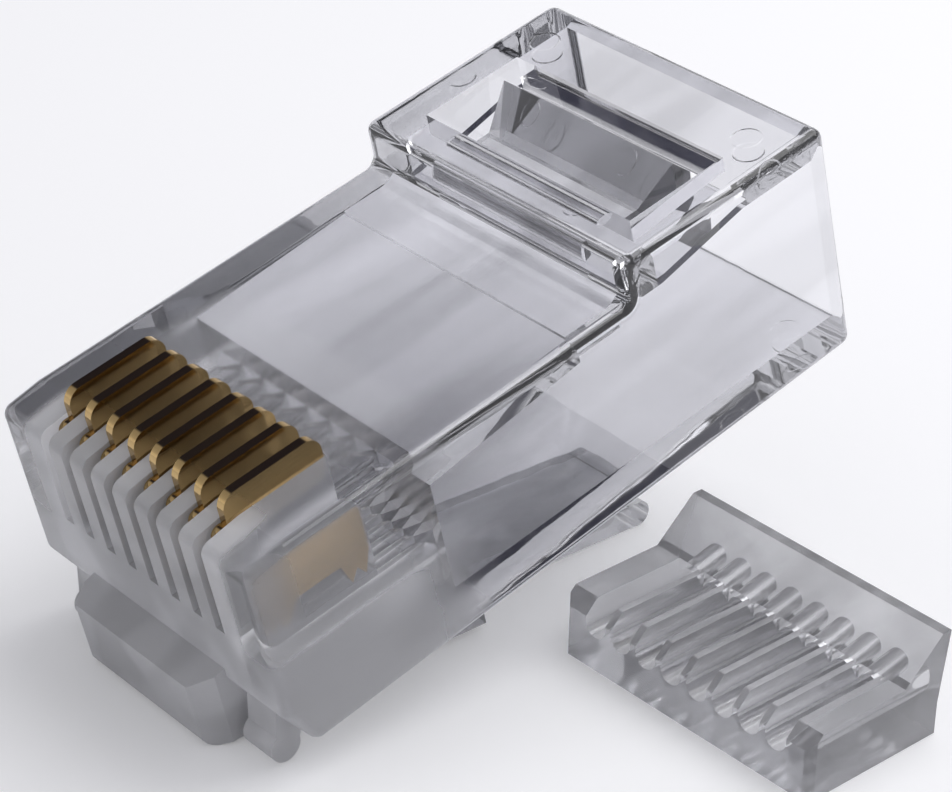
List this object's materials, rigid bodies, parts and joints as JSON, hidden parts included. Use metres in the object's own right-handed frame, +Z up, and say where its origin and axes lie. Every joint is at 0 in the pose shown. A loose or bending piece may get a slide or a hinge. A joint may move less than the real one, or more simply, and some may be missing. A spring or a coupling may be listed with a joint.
{
  "type": "rj45 modular plug",
  "caption": "Clear 8-position modular plug with gold blade contacts, sprung latch and windowed strain relief, resting on its latch beside its loose conductor insert.",
  "frame": {"origin": "middle of the flat front face of the plug's nose", "axes": "+X across the plug, -Y out of the nose towards the jack and pitched down with the resting plug, +Y towards the cable, +Z up with the contacts on top"},
  "size_m": [0.0209, 0.0225, 0.0143],
  "materials": {
    "clear_plastic": "clear gloss polycarbonate",
    "gold_contact": "gold plated, bright"
  },
  "bodies": {
    "plug": {"housing": "clear_plastic", "load_bar": "clear_plastic"},
    "latch": {"latch_lever": "clear_plastic"},
    "strain_relief": {"strain_relief_bar": "clear_plastic"},
    "blade_1": {"contact_1": "gold_contact"},
    "blade_2": {"contact_2": "gold_contact"},
    "blade_3": {"contact_3": "gold_contact"},
    "blade_4": {"contact_4": "gold_contact"},
    "blade_5": {"contact_5": "gold_contact"},
    "blade_6": {"contact_6": "gold_contact"},
    "blade_7": {"contact_7": "gold_contact"},
    "blade_8": {"contact_8": "gold_contact"}
  },
  "joints": [
    {"name": "latch_flex", "type": "hinge", "parent": "plug", "child": "latch", "pos_m": [0, 0.00211, -0.00415], "axis": [1, 0, 0], "range_deg": [0, 12], "stiffness_Nm_per_rad": 0.2},
    {"name": "strain_relief_press", "type": "hinge", "parent": "plug", "child": "strain_relief", "pos_m": [0, 0.01416, 0.0069], "axis": [1, 0, 0], "range_deg": [-28, 0]},
    {"name": "contact_1_crimp", "type": "slide", "parent": "plug", "child": "blade_1", "axis": [0, -0.2523, 0.9676], "range_m": [-0.00105, 0]},
    {"name": "contact_2_crimp", "type": "slide", "parent": "plug", "child": "blade_2", "axis": [0, -0.2523, 0.9676], "range_m": [-0.00105, 0]},
    {"name": "contact_3_crimp", "type": "slide", "parent": "plug", "child": "blade_3", "axis": [0, -0.2523, 0.9676], "range_m": [-0.00105, 0]},
    {"name": "contact_4_crimp", "type": "slide", "parent": "plug", "child": "blade_4", "axis": [0, -0.2523, 0.9676], "range_m": [-0.00105, 0]},
    {"name": "contact_5_crimp", "type": "slide", "parent": "plug", "child": "blade_5", "axis": [0, -0.2523, 0.9676], "range_m": [-0.00105, 0]},
    {"name": "contact_6_crimp", "type": "slide", "parent": "plug", "child": "blade_6", "axis": [0, -0.2523, 0.9676], "range_m": [-0.00105, 0]},
    {"name": "contact_7_crimp", "type": "slide", "parent": "plug", "child": "blade_7", "axis": [0, -0.2523, 0.9676], "range_m": [-0.00105, 0]},
    {"name": "contact_8_crimp", "type": "slide", "parent": "plug", "child": "blade_8", "axis": [0, -0.2523, 0.9676], "range_m": [-0.00105, 0]}
  ]
}
